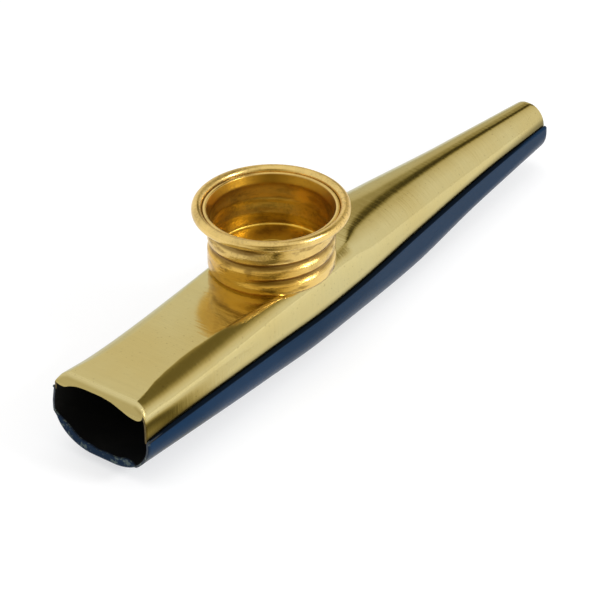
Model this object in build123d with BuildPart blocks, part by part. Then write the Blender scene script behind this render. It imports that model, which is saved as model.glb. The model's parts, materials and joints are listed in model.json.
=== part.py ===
"""Pressed-metal kazoo: two crimped shells, a threaded turret, a screw cap and its membrane.

Millimetres, +Z up. The origin is under the middle of the body's length, on the plane
that the keel rests on. +X runs from the mouth end to the narrow end.
"""
import os
from collections import namedtuple

from build123d import *

# Body lengths, measured from the mouth end
body_length = 120.0
turret_distance = 44.0
waist_distance = 75.0
tube_distance = 97.0
end_setback = 0.6

# Body half widths, over the crimps: the belly's own follows the turret that it carries,
# and the mouth and the waist are narrower than the belly by so much
mouth_narrowing = 0.65
belly_narrowing_front = 0.15
belly_narrowing_rear = 0.45
waist_narrowing = 2.25
tube_half_width = 5.7
end_half_width = 4.15

# Upper shell: heights above the top of the crimp
mouth_top = 6.1
belly_top = 7.1
waist_top = 6.2
tube_top = 4.7
end_top = 2.9

# Upper shell: widths and drops of the rounded shoulders beside the broad flat top
mouth_shoulder_width = 1.0
belly_shoulder_width = 1.65
rear_shoulder_width = 2.1
mouth_shoulder_drop = 1.0
belly_shoulder_drop = 1.6
rear_shoulder_drop = 2.2

# Upper shell: half widths of the narrow flat top and heights of the sides towards the outlet
waist_flat = 2.1
tube_flat = 0.5
end_flat = 0.4
waist_side = 1.8
tube_side = 0.7
end_side = 0.3

# Lower shell: depth of the keel below the top of the crimp, and its rise towards the ends
keel_depth = 9.15
mouth_rise = 2.25
belly_rise = 0.35
tube_rise = 1.8
end_rise = 2.85

# Lower shell: half widths of the flat keel and heights of the straight sides
mouth_keel = 2.8
belly_keel = 2.6
waist_keel = 2.1
tube_keel = 1.0
end_keel = 0.65
mouth_wall = 1.2
belly_wall = 2.1
waist_wall = 3.8
tube_wall = 3.4
end_wall = 2.1

# Sheet metal and the crimp that holds the two shells together
shell_sheet = 0.35
crimp_width = 1.0
crimp_play = 0.1

# Mouth lips
lip_drop_middle = 1.6
lip_drop_corner = 3.1
lip_corner_inset = 0.75
lip_notch_drop = 1.6
lower_lip_height = 1.1

# Turret
turret_sheet = 0.35
turret_radius = 10.6
turret_overhang = 0.75
turret_ledge_height = 10.2
flare_rise = 0.85
rim_overhang = 2.45
bead_radius = 0.85
seat_margin = 0.9
seat_width = 4.0
neck_play = 0.05
clinch_width = 0.6

# Thread rolled into the turret and the cap
thread_pitch = 2.8
thread_start_height = 2.85
thread_start_angle = 198.0
thread_top_margin = 1.2
thread_round = 0.65
thread_depth = 0.5
thread_play = 0.1
thread_run_in = 0.1

# Screw cap
cap_sheet = 0.35
cap_hole_radius = 3.9
cap_lip_width = 0.9
cap_lip_skirt = 0.15
cap_lip_play = 0.1
cap_ledge_play = 0.1
cap_neck_play = 0.4

# Membrane and its washers
washer_thickness = 0.35
washer_width = 2.6
membrane_thickness = 0.1
insert_play = 0.15

# Places worked out from the sizes above
mouth_x = -body_length / 2
turret_x = mouth_x + turret_distance
seam_z = keel_depth
shell_top_z = seam_z + belly_top
belly_half_width = turret_radius - turret_overhang
mouth_half_width = belly_half_width - mouth_narrowing
waist_half_width = belly_half_width - waist_narrowing
seat_run = turret_radius + seat_margin
neck_radius = turret_radius - seat_width

# One row for each place where the body's section is given
Station = namedtuple("Station", "distance half_width top flat side depth keel wall")


def shouldered(distance, half_width, top, shoulder_width, shoulder_drop, depth, keel, wall):
    """Station whose flat top reaches out to shoulders of a given width and drop."""
    flat = half_width - crimp_width - shoulder_width
    return Station(distance, half_width, top, flat, top - shoulder_drop, depth, keel, wall)


stations = [
    shouldered(0, mouth_half_width, mouth_top, mouth_shoulder_width, mouth_shoulder_drop,
               keel_depth - mouth_rise, mouth_keel, mouth_wall),
    shouldered(turret_distance - seat_run, belly_half_width - belly_narrowing_front, belly_top,
               belly_shoulder_width, belly_shoulder_drop,
               keel_depth - belly_rise, belly_keel, belly_wall),
    shouldered(turret_distance, belly_half_width, belly_top,
               belly_shoulder_width, belly_shoulder_drop, keel_depth, belly_keel, belly_wall),
    shouldered(turret_distance + seat_run, belly_half_width - belly_narrowing_rear, belly_top,
               rear_shoulder_width, rear_shoulder_drop, keel_depth, belly_keel, belly_wall),
    Station(waist_distance, waist_half_width, waist_top, waist_flat, waist_side,
            keel_depth, waist_keel, waist_wall),
    Station(tube_distance, tube_half_width, tube_top, tube_flat, tube_side,
            keel_depth - tube_rise, tube_keel, tube_wall),
    Station(body_length, end_half_width, end_top, end_flat, end_side,
            keel_depth - end_rise, end_keel, end_wall),
]


def section_plane(distance):
    """Plane across the body, local x along +Y and local y along +Z, zero on top of the crimp."""
    return Plane(origin=(mouth_x + distance, 0, seam_z), x_dir=(0, 1, 0), z_dir=(1, 0, 0))


def upper_half_width(station):
    """Half width over the upper shell's own sides."""
    return station.half_width - crimp_width


def arch(station, inset, foot):
    """Upper outline, from the right foot over the top to the left foot, moved in by inset."""
    side = upper_half_width(station) - inset
    across = side - station.flat
    rise = station.top - inset - station.side
    Line((side, foot), (side, station.side))
    EllipticalCenterArc((station.flat, station.side), across, rise, 0, arc_size=90)
    Line((station.flat, station.top - inset), (-station.flat, station.top - inset))
    EllipticalCenterArc((-station.flat, station.side), across, rise, 90, arc_size=90)
    Line((-side, station.side), (-side, foot))


def trough(station, inset):
    """Lower outline between the straight walls, from left to right, moved in by inset."""
    across = station.half_width - inset - station.keel
    drop = station.depth - inset - station.wall
    EllipticalCenterArc((-station.keel, -station.wall), across, drop, 180, arc_size=90)
    Line((-station.keel, inset - station.depth), (station.keel, inset - station.depth))
    EllipticalCenterArc((station.keel, -station.wall), across, drop, 270, arc_size=90)


def upper_profile(station):
    """Sheet section of the upper shell: arch with two out-turned flanges under the crimp."""
    side = upper_half_width(station)
    tip = station.half_width - shell_sheet - crimp_play
    flange_top = -shell_sheet
    flange_bottom = -2 * shell_sheet
    with BuildSketch(section_plane(station.distance)) as profile:
        with BuildLine():
            arch(station, 0, flange_top)
            arch(station, shell_sheet, flange_bottom)
            for sign in (1, -1):
                Polyline(
                    (sign * side, flange_top),
                    (sign * tip, flange_top),
                    (sign * tip, flange_bottom),
                    (sign * (side - shell_sheet), flange_bottom),
                )
        make_face()
    return profile.sketch


def lower_profile(station):
    """Sheet section of the lower shell: trough whose top edges turn in over the flanges."""
    wall = station.half_width
    inner_wall = wall - shell_sheet
    crimp_edge = upper_half_width(station) + crimp_play
    with BuildSketch(section_plane(station.distance)) as profile:
        with BuildLine():
            trough(station, 0)
            trough(station, shell_sheet)
            for sign in (1, -1):
                Line((sign * wall, -station.wall), (sign * wall, -shell_sheet))
                RadiusArc((sign * wall, -shell_sheet), (sign * inner_wall, 0), -sign * shell_sheet)
                Polyline(
                    (sign * inner_wall, 0),
                    (sign * crimp_edge, 0),
                    (sign * crimp_edge, -shell_sheet),
                    (sign * inner_wall, -shell_sheet),
                    (sign * inner_wall, -station.wall),
                )
        make_face()
    return profile.sketch


mouth = stations[0]

# Lower shell, with the lip turned up at the mouth end
with BuildPart() as lower_shell:
    for station in stations:
        add(lower_profile(station))
    loft(ruled=True)
    with BuildSketch(section_plane(0)):
        with BuildLine():
            trough(mouth, 0)
            trough(mouth, lower_lip_height)
            for sign in (1, -1):
                Line((sign * mouth.half_width, -mouth.wall),
                     (sign * (mouth.half_width - lower_lip_height), -mouth.wall))
        make_face()
    extrude(amount=shell_sheet)

# Upper shell, with the arched lip turned down at the mouth end and the turret's hole
with BuildPart() as upper_shell:
    for station in stations:
        add(upper_profile(station))
    loft(ruled=True)
    with BuildSketch(section_plane(0)):
        with BuildLine():
            notch = mouth.top - lip_notch_drop
            corner = mouth.top - lip_drop_corner
            side = upper_half_width(mouth)
            arch(mouth, 0, notch)
            for sign in (1, -1):
                Line((sign * side, notch), (sign * (side - lip_corner_inset), corner))
            ThreePointArc(
                (side - lip_corner_inset, corner),
                (0, mouth.top - lip_drop_middle),
                (lip_corner_inset - side, corner),
            )
        make_face()
    extrude(amount=shell_sheet)
    split(bisect_by=section_plane(body_length - end_setback), keep=Keep.BOTTOM)
    with Locations((turret_x, 0, shell_top_z)):
        Hole(neck_radius + neck_play, depth=belly_top)

# Turret: seat, threaded wall, flared ledge and solid rolled bead, turned about one axis
turret_axis = Axis((turret_x, 0, 0), (0, 0, 1))
turret_profile = Plane(origin=(turret_x, 0, shell_top_z), x_dir=(1, 0, 0), z_dir=(0, -1, 0))
turret_bore = turret_radius - turret_sheet
turret_flare_height = turret_ledge_height - flare_rise
bead_centre_radius = turret_radius + rim_overhang - bead_radius
neck_bore = neck_radius - turret_sheet
clinch_top = -shell_sheet
clinch_bottom = clinch_top - turret_sheet

# Rolled thread: a round groove outside, which is a round ridge inside
groove_centre = turret_radius + thread_round - thread_depth
turret_ridge = thread_round + turret_sheet
cap_groove = turret_ridge + thread_play
cap_ridge = cap_groove + cap_sheet


def thread_path(start_height, end_height):
    """Right-handed helix of the thread between two heights above the upper shell."""
    angle = thread_start_angle + 360 * (start_height - thread_start_height) / thread_pitch
    with BuildLine(Plane((turret_x, 0, shell_top_z + start_height))) as path:
        Helix(thread_pitch, end_height - start_height, groove_centre)
    return path.line.rotate(turret_axis, angle)


def thread_profile(path, radius, reach):
    """Round section across the start of the path, kept within reach of the turret's axis."""
    start = path @ 0
    outward = Vector(start.X - turret_x, start.Y, 0)
    with BuildSketch(Plane(origin=start, x_dir=outward, z_dir=path % 0)) as profile:
        Circle(radius)
        with Locations((reach - groove_centre, 0)):
            Rectangle(2 * radius, 2 * radius, align=(Align.MIN, Align.CENTER), mode=Mode.SUBTRACT)
    return profile.sketch


thread_end_height = turret_flare_height - thread_top_margin

# The cap's lip lies between the turret's flare and its bead, so both take their place from it
lip_outer = bead_centre_radius - bead_radius - cap_lip_play
lip_inner = lip_outer - cap_lip_width
turret_ledge_radius = lip_inner + cap_sheet + cap_neck_play

with BuildPart() as turret:
    with BuildSketch(turret_profile):
        with BuildLine():
            Polyline(
                (neck_bore, turret_sheet),
                (turret_bore, turret_sheet),
                (turret_bore, turret_flare_height),
                (turret_ledge_radius, turret_ledge_height),
                (bead_centre_radius, turret_ledge_height),
                (bead_centre_radius, turret_ledge_height - turret_sheet),
                (turret_ledge_radius + turret_sheet / 2, turret_ledge_height - turret_sheet),
                (turret_radius, turret_flare_height - turret_sheet / 2),
                (turret_radius, 0),
                (neck_radius, 0),
                (neck_radius, clinch_top),
                (neck_radius + clinch_width, clinch_top),
                (neck_radius + clinch_width, clinch_bottom),
                (neck_bore, clinch_bottom),
                close=True,
            )
        make_face()
        with Locations((bead_centre_radius, turret_ledge_height + bead_radius / 2)):
            Circle(bead_radius)
    revolve(axis=turret_axis)
    ridge_path = thread_path(thread_start_height, thread_end_height)
    sweep(thread_profile(ridge_path, turret_ridge, turret_radius - turret_sheet / 2),
          path=ridge_path, is_frenet=True)
    sweep(thread_profile(ridge_path, thread_round, turret_radius + thread_round),
          path=ridge_path, is_frenet=True, mode=Mode.SUBTRACT)

# Stack on the turret's seat: washer, membrane, washer, floor of the cap
seat_height = turret_sheet
membrane_height = seat_height + washer_thickness
pressure_height = membrane_height + membrane_thickness
cap_floor = pressure_height + washer_thickness
insert_radius = groove_centre - turret_ridge - insert_play
washer_inner_radius = insert_radius - washer_width

with BuildPart() as seat_washer:
    with BuildSketch(Plane((turret_x, 0, shell_top_z + seat_height))):
        Circle(insert_radius)
        Circle(washer_inner_radius, mode=Mode.SUBTRACT)
    extrude(amount=washer_thickness)

with BuildPart() as membrane:
    with BuildSketch(Plane((turret_x, 0, shell_top_z + membrane_height))):
        Circle(insert_radius)
    extrude(amount=membrane_thickness)

with BuildPart() as pressure_washer:
    with BuildSketch(Plane((turret_x, 0, shell_top_z + pressure_height))):
        Circle(insert_radius)
        Circle(washer_inner_radius, mode=Mode.SUBTRACT)
    extrude(amount=washer_thickness)

# Screw cap: cup with a thread in its wall and a lip rolled over inside the turret's bead
cap_radius = turret_bore - thread_play
cap_bore = cap_radius - cap_sheet
lip_edge = turret_ledge_height + cap_ledge_play
lip_roll = cap_lip_width / 2
lip_roll_height = lip_edge + cap_lip_skirt
lip_roll_centre = lip_outer - lip_roll

with BuildPart() as screw_cap:
    with BuildSketch(turret_profile):
        with BuildLine():
            Polyline(
                (cap_hole_radius, cap_floor),
                (cap_radius, cap_floor),
                (cap_radius, turret_flare_height),
                (lip_inner + cap_sheet, lip_edge),
                (lip_inner + cap_sheet, lip_roll_height),
            )
            CenterArc((lip_roll_centre, lip_roll_height), lip_roll - cap_sheet, 180, -180)
            Polyline(
                (lip_outer - cap_sheet, lip_roll_height),
                (lip_outer - cap_sheet, lip_edge),
                (lip_outer, lip_edge),
                (lip_outer, lip_roll_height),
            )
            CenterArc((lip_roll_centre, lip_roll_height), lip_roll, 0, 180)
            Polyline(
                (lip_inner, lip_roll_height),
                (lip_inner, lip_edge),
                (cap_bore, turret_flare_height),
                (cap_bore, cap_floor + cap_sheet),
                (cap_hole_radius, cap_floor + cap_sheet),
                (cap_hole_radius, cap_floor),
            )
        make_face()
    revolve(axis=turret_axis)
    groove_path = thread_path(cap_floor - cap_ridge, thread_end_height + thread_run_in)
    sweep(thread_profile(groove_path, cap_ridge, cap_radius - cap_sheet / 2),
          path=groove_path, is_frenet=True)
    sweep(thread_profile(groove_path, cap_groove, cap_radius + cap_groove),
          path=groove_path, is_frenet=True, mode=Mode.SUBTRACT)
    split(bisect_by=Plane((turret_x, 0, shell_top_z + cap_floor)), keep=Keep.TOP)

pieces = {
    "lower_shell": lower_shell,
    "upper_shell": upper_shell,
    "turret": turret,
    "seat_washer": seat_washer,
    "membrane": membrane,
    "pressure_washer": pressure_washer,
    "screw_cap": screw_cap,
}
os.makedirs("parts", exist_ok=True)
for name, piece in pieces.items():
    piece.part.label = name
    export_step(piece.part, f"parts/{name}.step")
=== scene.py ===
"""Looks of a pressed-metal kazoo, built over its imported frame.

Blender works in metres. Shapes are worked out in millimetres and scaled when a mesh is made.
+X runs from the mouth end to the outlet, +Z is up along the turret's axis.
"""

import json
import math
from collections import namedtuple
from contextlib import contextmanager

import bmesh
import bpy
from bpy.props import FloatProperty, FloatVectorProperty, PointerProperty
from bpy.types import Operator, Panel, PropertyGroup
from mathutils import Matrix, Vector


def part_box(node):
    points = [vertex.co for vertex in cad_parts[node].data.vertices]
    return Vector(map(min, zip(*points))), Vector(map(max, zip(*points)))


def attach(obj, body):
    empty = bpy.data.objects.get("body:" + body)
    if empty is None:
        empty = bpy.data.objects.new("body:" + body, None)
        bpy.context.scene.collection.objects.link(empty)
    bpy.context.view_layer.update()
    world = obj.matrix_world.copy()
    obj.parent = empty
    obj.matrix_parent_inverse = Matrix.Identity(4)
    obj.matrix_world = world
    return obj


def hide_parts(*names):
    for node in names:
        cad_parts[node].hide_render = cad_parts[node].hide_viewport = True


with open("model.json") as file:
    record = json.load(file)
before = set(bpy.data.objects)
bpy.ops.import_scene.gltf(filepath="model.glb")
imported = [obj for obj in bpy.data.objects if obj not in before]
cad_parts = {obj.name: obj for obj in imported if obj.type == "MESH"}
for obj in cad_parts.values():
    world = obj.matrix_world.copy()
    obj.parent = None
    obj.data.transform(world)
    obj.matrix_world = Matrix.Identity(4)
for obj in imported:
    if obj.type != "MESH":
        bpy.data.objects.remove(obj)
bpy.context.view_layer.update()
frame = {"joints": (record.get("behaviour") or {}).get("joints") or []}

bl_info = {
    "name": "Pressed-metal kazoo",
    "version": (1, 0, 0),
    "blender": (4, 5, 0),
    "location": "3D View > Sidebar > Kazoo",
    "description": "Builds the shells, turret, screw cap and membrane stack of a kazoo",
    "category": "Add Mesh",
}

MM = 0.001
shell_low, shell_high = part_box("lower_shell")
turret_low, turret_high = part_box("turret")
cap_joint = next(joint for joint in frame["joints"] if joint["name"] == "cap_turn")
turret_x = cap_joint["pos_m"][0] / MM
seat_z = cap_joint["pos_m"][2] / MM
seam_z = shell_high.z / MM
mouth_x = shell_low.x / MM


def length(name, description, millimetres):
    """Length property whose default is given in millimetres."""
    return FloatProperty(name=name, description=description, default=millimetres * MM,
                         precision=5, unit="LENGTH")


def colour(name, description, red, green, blue):
    """Colour property in linear values."""
    return FloatVectorProperty(name=name, description=description, default=(red, green, blue),
                               min=0.0, max=1.0, size=3, subtype="COLOR")


def degrees(name, description, value):
    """Angle property whose default is given in degrees."""
    return FloatProperty(name=name, description=description, default=math.radians(value),
                         subtype="ANGLE")


def amount(name, description, value, unit="NONE"):
    """Plain number property."""
    return FloatProperty(name=name, description=description, default=value, unit=unit)


def in_millimetres(group, *names):
    """Length properties of a group, in millimetres."""
    return [getattr(group, name) / MM for name in names]


# Sizes and colours that a user may change


class KazooBody(PropertyGroup):
    """Sizes and colours of the two shells."""
    length: length("Length", "Body length from the mouth end to the outlet",
                   (shell_high.x - shell_low.x) / MM)
    mouth_width: length("Mouth width", "Width over the crimps at the mouth end", 19.2)
    belly_width: length("Belly width", "Width over the crimps under the turret",
                        (shell_high.y - shell_low.y) / MM)
    waist_width: length("Waist width", "Width over the crimps behind the turret", 15.2)
    tube_width: length("Tube width", "Width over the crimps where the body turns round", 11.4)
    end_width: length("End width", "Width over the crimps at the outlet", 8.3)
    sheet: length("Sheet", "Thickness of the pressed sheet", 0.35)
    crimp: length("Crimp", "Width of the in-turned edge that holds the upper shell", 0.6)
    bend: length("Lip bend", "Outer radius of the bends at the mouth's lips", 1.1)
    brass: colour("Shell brass", "Pale brass of the upper shell", 0.62, 0.53, 0.25)
    paint: colour("Paint", "Dark blue of the lower shell", 0.008, 0.0285, 0.069)
    primer: colour("Primer", "Grey-green under the chipped paint", 0.17, 0.21, 0.17)


class KazooTurret(PropertyGroup):
    """Sizes and colours of the turret, its cap and the membrane stack."""
    radius: length("Radius", "Outer radius of the turret's wall", 10.6)
    rim_radius: length("Rim radius", "Outer radius of the rolled bead",
                       (turret_high.x - turret_low.x) / 2 / MM)
    ledge_height: length("Ledge height", "Height of the ledge inside the bead", 10.2)
    bead: length("Bead", "Radius of the rolled bead", 0.85)
    sheet: length("Sheet", "Thickness of the spun sheet", 0.35)
    pitch: length("Thread pitch", "Rise of the rolled thread in one turn", 2.8)
    thread_start: length("Thread start", "Height where the rolled thread starts", 2.03)
    thread_end: length("Thread end", "Height where the rolled thread ends", 8.15)
    thread_depth: length("Thread depth", "Depth of the rolled thread", 0.5)
    thread_angle: degrees("Thread angle", "Direction in which the rolled thread starts", 170.0)
    cap_hole: length("Cap hole", "Radius of the hole in the cap's floor", 4.6)
    brass: colour("Turret brass", "Yellow brass of the turret", 0.80, 0.57, 0.20)
    # Cap brass is used only inside the cup, where its deeper colour is painted shade.
    cap_brass: colour("Cap brass", "Yellow brass of the screw cap", 0.84, 0.56, 0.09)
    # Tarnish also serves as painted shade on the cup's floor.
    tarnish: colour("Tarnish", "Brown in the rolled thread and on worn spots", 0.15, 0.075, 0.012)
    fibre: colour("Fibre", "Red-brown of the fibre washers", 0.28, 0.13, 0.075)
    film: colour("Film", "Cream of the membrane", 0.80, 0.77, 0.68)


class KazooStage(PropertyGroup):
    """Floor, light and camera."""
    floor: colour("Floor", "Colour of the floor", 0.45, 0.45, 0.45)
    ambient: amount("Ambient", "Strength of the even light", 0.75)
    overhead: amount("Overhead", "Power of the large light overhead", 1.5, "POWER")
    side: amount("Side", "Power of the small light at the right", 0.7, "POWER")
    distance: length("Distance", "Distance of the camera from the turret's foot", 520.0)
    aim_right: length("Aim right", "How far right of the turret's foot the camera aims", 4.56)
    aim_down: length("Aim down", "How far below the turret's foot the camera aims", 0.23)
    azimuth: degrees("Azimuth", "Turn of the camera from the body's length", 52.36)
    elevation: degrees("Elevation", "Height of the camera over the floor", 32.93)
    roll: degrees("Roll", "Tilt of the camera about its own axis", -0.63)
    lens: amount("Lens", "Focal length", 188.0, "CAMERA")


# Shapes


class FairLine:
    """Smooth line through the values at given places, with no overshoot between them."""

    def __init__(self, values_at):
        self.places = sorted(values_at)
        self.values = [values_at[place] for place in self.places]
        runs = [b - a for a, b in zip(self.places, self.places[1:])]
        rises = [(b - a) / run for a, b, run in zip(self.values, self.values[1:], runs)]
        self.slopes = [rises[0]]
        for i in range(1, len(runs)):
            before, after = rises[i - 1], rises[i]
            if before * after <= 0:
                self.slopes.append(0.0)
            else:
                near = 2 * runs[i] + runs[i - 1]
                far = runs[i] + 2 * runs[i - 1]
                self.slopes.append((near + far) / (near / before + far / after))
        self.slopes.append(rises[-1])

    def __call__(self, place):
        place = min(max(place, self.places[0]), self.places[-1])
        i = 0
        while i < len(self.places) - 2 and place > self.places[i + 1]:
            i += 1
        run = self.places[i + 1] - self.places[i]
        t = (place - self.places[i]) / run
        return (self.values[i] * (1 + 2 * t) * (1 - t) ** 2
                + self.slopes[i] * run * t * (1 - t) ** 2
                + self.values[i + 1] * t * t * (3 - 2 * t)
                + self.slopes[i + 1] * run * t * t * (t - 1))


Section = namedtuple("Section", "half_width top flat edge corner depth keel wall hem droop crimp")


class BodyShape:
    """Sections of the body along its length, in millimetres, zero on top of the crimp."""

    def __init__(self, body):
        self.length, self.sheet, crimp = in_millimetres(body, "length", "sheet", "crimp")
        widths = in_millimetres(body, "mouth_width", "belly_width", "waist_width", "tube_width",
                                "end_width")
        mouth_half, belly, waist_half, tube_half, end_half = (width / 2 for width in widths)
        turret = turret_x - mouth_x
        front, rear = turret - 11.5, turret + 11.5
        waist, tube, end = 75.0, 97.0, self.length
        self.lines = Section(
            half_width=FairLine({0: mouth_half, front: belly - 0.15, turret: belly,
                                 rear: belly - 0.45, waist: waist_half, tube: tube_half,
                                 end: end_half}),
            top=FairLine({0: 6.1, front: 7.1, rear: 7.1, waist: 6.2, tube: 4.7, end: 2.9}),
            flat=FairLine({0: 7.0, 2: 6.8, 7.5: 5.7, 14: 5.25, 21: 5.5, 26: 6.0, front: 6.6,
                           turret: 7.2, rear: 6.0, 61: 3.1, 67: 1.4, waist: 0.55, tube: 0.3,
                           end: 0.3}),
            edge=FairLine({0: 1.05, 4: 1.05, 28: 1.12, turret: 1.8, rear: 1.9, end: 2.0}),
            corner=FairLine({0: 5.0, 8: 4.8, front: 5.0, turret: 4.6, rear: 4.0, 67: 3.7,
                             waist: 3.4, tube: 2.2, end: 2.0}),
            depth=FairLine({0: 7.55, front: 8.8, turret: 9.15, waist: 9.15, tube: 7.35, end: 6.3}),
            keel=FairLine({0: 2.0, front: 2.6, rear: 2.6, waist: 2.1, tube: 1.0, end: 0.65}),
            wall=FairLine({0: 1.2, front: 2.1, rear: 2.1, waist: 3.8, tube: 3.4, end: 2.1}),
            hem=FairLine({0: 3.0, 3: 2.2, 12: 1.3, front: 0.0, end: 0.0}),
            droop=FairLine({0: 0.0, tube: 0.0, end: 0.7}),
            crimp=FairLine({0: 0.4 * crimp, 6: 0.85 * crimp, 14: crimp, end: crimp}),
        )

    def at(self, distance):
        """Section at a distance from the mouth end."""
        return Section(*(line(distance) for line in self.lines))


def placed_along(points, runs, targets):
    """Points of a line where its running measure reaches each of the rising targets."""
    placed = []
    i = 1
    for target in targets:
        while i < len(points) - 1 and runs[i] < target:
            i += 1
        t = (target - runs[i - 1]) / (runs[i] - runs[i - 1])
        placed.append(points[i - 1].lerp(points[i], min(max(t, 0.0), 1.0)))
    return placed


def spread(points, count, turn_weight=1.3):
    """Points placed anew along a line, closer together where it turns."""
    points = [Vector(point) for point in points]
    runs = [0.0]
    for i in range(1, len(points)):
        here = points[i] - points[i - 1]
        turn = 0.0
        if i + 1 < len(points):
            turn = here.angle(points[i + 1] - points[i], 0.0)
        runs.append(runs[-1] + here.length + turn_weight * turn)
    targets = [runs[-1] * k / (count - 1) for k in range(count)]
    return [tuple(point) for point in placed_along(points, runs, targets)]


def upper_half(section, shape, rise):
    """One side of the upper shell, from the flange under its crimp to the middle of the top."""
    foot = section.half_width - section.crimp
    reach = max(section.crimp - shape.sheet - 0.1, 0.0)
    flange_top = rise - shape.sheet - 0.08
    flange = [(foot + reach, flange_top), (foot + 0.6 * reach, flange_top),
              (foot + 0.2 * reach, flange_top + 0.09), (foot, rise - 0.06)]
    rounding = []
    steps, points = 60, 46
    for i in range(steps + 1):
        angle = i / steps * math.pi / 2
        across = (foot - section.flat) * math.cos(angle) ** (2 / section.edge)
        climb = (section.top - rise) * math.sin(angle) ** (2 / section.corner)
        rounding.append((section.flat + across, rise + climb))
    return flange + spread(rounding + [(0.0, section.top)], points)


def lower_half(section, shape, rise):
    """One side of the lower shell, from its crimp's inner edge to the middle of the keel."""
    half = section.half_width
    edge = half - section.crimp + 0.1
    roll = min(0.45, 0.8 * (half - edge))
    flat = half - roll - edge
    outline = [(edge, rise - 0.03), (edge + 0.2 * flat, rise), (edge + 0.6 * flat, rise)]
    for i in range(6):
        angle = math.radians(15 * i)
        outline.append((half - roll + roll * math.sin(angle), rise - roll + roll * math.cos(angle)))
    trough = [(half, rise - roll)]
    steps, points = 40, 43
    for i in range(steps + 1):
        angle = i / steps * math.pi / 2
        trough.append((section.keel + (half - section.keel) * math.cos(angle),
                       -section.wall - (section.depth - section.wall) * math.sin(angle)))
    return outline + spread(trough + [(0.0, -section.depth)], points)


def whole_outline(half_outline, section, shape):
    """Both sides of a shell from left to right. The left hem is slim and high near the mouth."""
    rounder = section._replace(corner=section.corner * (1 - 0.12 * section.hem))
    left = half_outline(rounder, shape, section.hem - section.droop)
    right = half_outline(section, shape, -section.droop)
    bulged = []
    for y, z in left:
        lean = 0.012 * section.hem - 0.0155 * min(max(z, 0.0), section.hem)
        bulged.append((y * (1 + lean), z))
    return bulged + [(-y, z) for y, z in reversed(right[:-1])]


def upper_outline(section, shape):
    return list(reversed(whole_outline(upper_half, section, shape)))


def lower_outline(section, shape):
    return whole_outline(lower_half, section, shape)


def running_length(points):
    """Length along a line up to each of its points."""
    lengths = [0.0]
    for before, after in zip(points, points[1:]):
        lengths.append(lengths[-1] + (after - before).length)
    return lengths


def fold_edges(mouth, first, last, free_edge):
    """Free edge of a lip for each point of the mouth's outline, None where there is no lip.

    free_edge gives the height of the edge across the mouth. The edge and the outline between
    the first and the last point are shared out by their lengths, so no two folds cross.
    """
    steps = 200
    width = mouth[last][0] - mouth[first][0]
    across = [mouth[first][0] + width * i / steps for i in range(steps + 1)]
    edge = [Vector((y, free_edge(y))) for y in across]
    edge_run = running_length(edge)
    outline_run = running_length([Vector(point) for point in mouth[first:last + 1]])
    targets = [edge_run[-1] * run / outline_run[-1] for run in outline_run]
    folds = [None] * len(mouth)
    folds[first:last + 1] = placed_along(edge, edge_run, targets)
    return folds


def lip_rows(outline_at, folds, bend, wall_steps=2, bend_steps=7, plate_steps=5):
    """Rows from a lip's free edge round its bend to the straight wall.

    outline_at(distance) gives the section's points, and folds the lip's free edge on the
    mouth plane for each of them, or None where the wall is cut straight.
    """
    mouth = outline_at(0.0)
    bends = []
    for point, edge in zip(mouth, folds):
        reach = edge - Vector(point) if edge else Vector((0.0, 0.0))
        radius = min(bend, 0.8 * reach.length)
        along = reach.normalized() if reach.length > 0 else reach
        steps = [(0.0, reach.length + (radius - reach.length) * i / plate_steps)
                 for i in range(plate_steps)]
        for i in range(bend_steps + 1):
            angle = math.pi / 2 * (1 - i / bend_steps)
            steps.append((radius * (1 - math.sin(angle)), radius * (1 - math.cos(angle))))
        for i in range(1, wall_steps):
            steps.append((radius + (bend - radius) * i / wall_steps, 0.0))
        bends.append((along, steps))
    rows = []
    for k in range(len(bends[0][1])):
        row = []
        for j, (along, steps) in enumerate(bends):
            distance, inward = steps[k]
            y, z = outline_at(distance)[j] if distance > 0 else mouth[j]
            row.append((distance, y + along.x * inward, z + along.y * inward))
        rows.append(row)
    return rows


def shell_rows(outline, shape, folds, bend, end, spacing):
    """Rows of a whole shell, from the lip's free edge to the outlet."""
    def outline_at(distance):
        return outline(shape.at(distance), shape)

    rows = lip_rows(outline_at, folds, bend)
    steps = round((end - bend) / spacing)
    for i in range(steps + 1):
        distance = bend + (end - bend) * i / steps
        rows.append([(distance, y, z) for y, z in outline_at(distance)])
    return rows


def grid_faces(rows, width, ring_of_rows=False, ringed=False, first=0):
    """Quads between rows of points. The rows may form a ring, and so may each row."""
    faces = []
    for i in range(rows if ring_of_rows else rows - 1):
        here = first + i * width
        there = first + (i + 1) % rows * width
        for j in range(width if ringed else width - 1):
            k = (j + 1) % width
            faces.append((here + j, there + j, there + k, here + k))
    return faces


def new_mesh(name, points, faces):
    """Mesh with the given points and faces, smooth all over."""
    mesh = bpy.data.meshes.new(name)
    mesh.from_pydata(points, [], faces)
    mesh.polygons.foreach_set("use_smooth", [True] * len(mesh.polygons))
    return mesh


@contextmanager
def reworked(mesh):
    """Opens a mesh for work on its points and faces, and writes it back."""
    work = bmesh.new()
    work.from_mesh(mesh)
    yield work
    work.to_mesh(mesh)
    work.free()


def sheet_mesh(name, rows):
    """Mesh of quads through rows of (distance, y, z) points, in the object's frame."""
    points = [((mouth_x + d) * MM, y * MM, (seam_z + z) * MM) for row in rows for d, y, z in row]
    mesh = new_mesh(name, points, grid_faces(len(rows), len(rows[0])))
    with reworked(mesh) as work:
        bmesh.ops.remove_doubles(work, verts=work.verts, dist=0.004 * MM)
        bmesh.ops.dissolve_degenerate(work, edges=work.edges, dist=0.002 * MM)
    return mesh


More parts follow.
